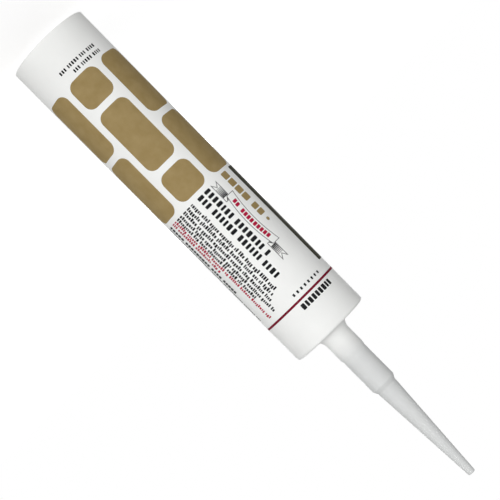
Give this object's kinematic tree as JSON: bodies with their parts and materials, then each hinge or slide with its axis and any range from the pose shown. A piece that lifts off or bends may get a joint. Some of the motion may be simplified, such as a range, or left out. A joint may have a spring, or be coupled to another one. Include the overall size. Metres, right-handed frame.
{
  "type": "caulk tube",
  "caption": "Plastic caulk cartridge with an integral stepped nozzle, a sliding rear plunger, its sealant filling and a foil inner seal.",
  "frame": {"origin": "centre of the rear rim that the tube stands on", "axes": "+Z along the tube, from the rear rim to the tip of the nozzle; -Y is the printed front"},
  "size_m": [0.049, 0.049, 0.3245],
  "materials": {
    "cartridge_plastic": "satin white moulded plastic",
    "plunger_plastic": "waxy white moulded plastic",
    "sealant_paste": "smooth white paste",
    "seal_foil": "bright foil",
    "gold_ink": "printed bronze-gold ink",
    "black_ink": "printed black ink",
    "red_ink": "printed dark red ink"
  },
  "bodies": {
    "cartridge": {"cartridge": "cartridge_plastic", "sealant": "sealant_paste", "inner_seal": "seal_foil"},
    "plunger": {"plunger": "plunger_plastic"}
  },
  "joints": [
    {"name": "plunger_slide", "type": "slide", "parent": "cartridge", "child": "plunger", "axis": [0, 0, 1], "range_m": [0, 0.1808], "deforming": ["sealant"]}
  ]
}
